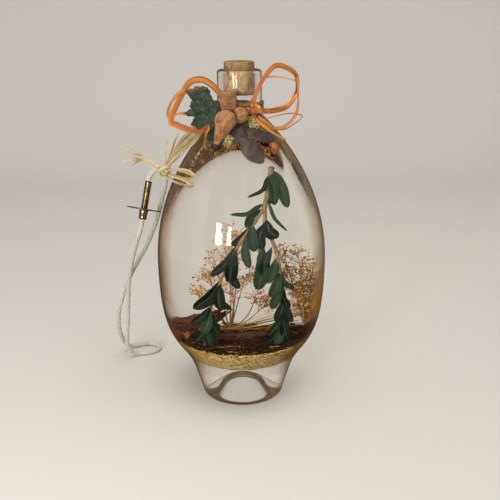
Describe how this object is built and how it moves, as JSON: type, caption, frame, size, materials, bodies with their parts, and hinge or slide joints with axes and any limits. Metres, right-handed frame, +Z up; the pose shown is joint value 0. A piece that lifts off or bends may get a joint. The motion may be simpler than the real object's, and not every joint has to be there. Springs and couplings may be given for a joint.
{
  "type": "botanical oil lamp bottle",
  "caption": "Egg-shaped clear glass lamp bottle with a cork, filled with sand, a leafy branch and dried flowers, its neck dressed with raffia, leaves and pods, and a brass wick holder tied on.",
  "frame": {"origin": "centre of the bottle's resting ring, on the table", "axes": "+Z up along the bottle's axis, -Y towards the bow, pods and leaves on the front, +X to the viewer's right; the wick and its brass holder hang at the left (-X)"},
  "size_m": [0.181, 0.151, 0.2701],
  "materials": {
    "clear_glass": "smooth clear blown glass",
    "cork": "natural cork, fine pores",
    "sand": "loose ochre sand and fine gravel",
    "sprig_leaf": "preserved dark green leaves on brown twigs",
    "dried_flower": "dry papery amber buds",
    "straw": "dry golden straw",
    "bark": "dark red-brown bark",
    "orange_petal": "dry orange petals",
    "orange_raffia": "dyed orange raffia, slight sheen",
    "vine_leaf": "matt green leaf with brown edges",
    "gourd": "dry tan pod, semi-matt",
    "gourd_cap": "dark green dry cap",
    "plum_leaf": "plum-brown leaf with a satin sheen",
    "moss": "pale yellow-green dried moss",
    "natural_raffia": "natural straw-coloured raffia",
    "brass": "lightly aged brass",
    "cotton": "off-white braided cotton"
  },
  "bodies": {
    "bottle": {"glass_bottle": "clear_glass", "sand_bed": "sand", "leafy_branch": "sprig_leaf", "dried_flowers_left": "dried_flower", "dried_flowers_right": "dried_flower", "dried_straws": "straw", "bark_slab": "bark", "bark_wedge": "bark", "bark_right": "bark", "orange_petals": "orange_petal", "neck_winding": "orange_raffia", "bow_left": "orange_raffia", "bow_right": "orange_raffia", "bow_knot": "orange_raffia", "vine_leaf": "vine_leaf", "small_vine_leaf": "vine_leaf", "ribbed_pod": "gourd", "teardrop_gourd": "gourd", "gourd_cap": "gourd_cap", "round_gourd": "gourd", "plum_leaf_left": "plum_leaf", "plum_leaf_right": "plum_leaf", "plum_leaf_front": "plum_leaf", "moss_left": "moss", "moss_right": "moss", "orange_bud": "orange_petal"},
    "cork": {"cork_stopper": "cork"},
    "wick_kit": {"tie_strands": "natural_raffia", "tie_knot": "natural_raffia", "tie_loops": "natural_raffia", "tie_ends": "natural_raffia", "wick_tube": "brass", "wick_flange": "brass", "wick_ferrule": "brass", "cotton_wick": "cotton"}
  },
  "joints": [
    {"name": "cork_pull", "type": "slide", "parent": "bottle", "child": "cork", "axis": [0, 0, 1], "range_m": [0, 0.035]},
    {"name": "wick_kit_swing", "type": "hinge", "parent": "bottle", "child": "wick_kit", "pos_m": [-0.02, -0.008, 0.229], "axis": [0, 1, 0], "range_deg": [0, 12]}
  ]
}
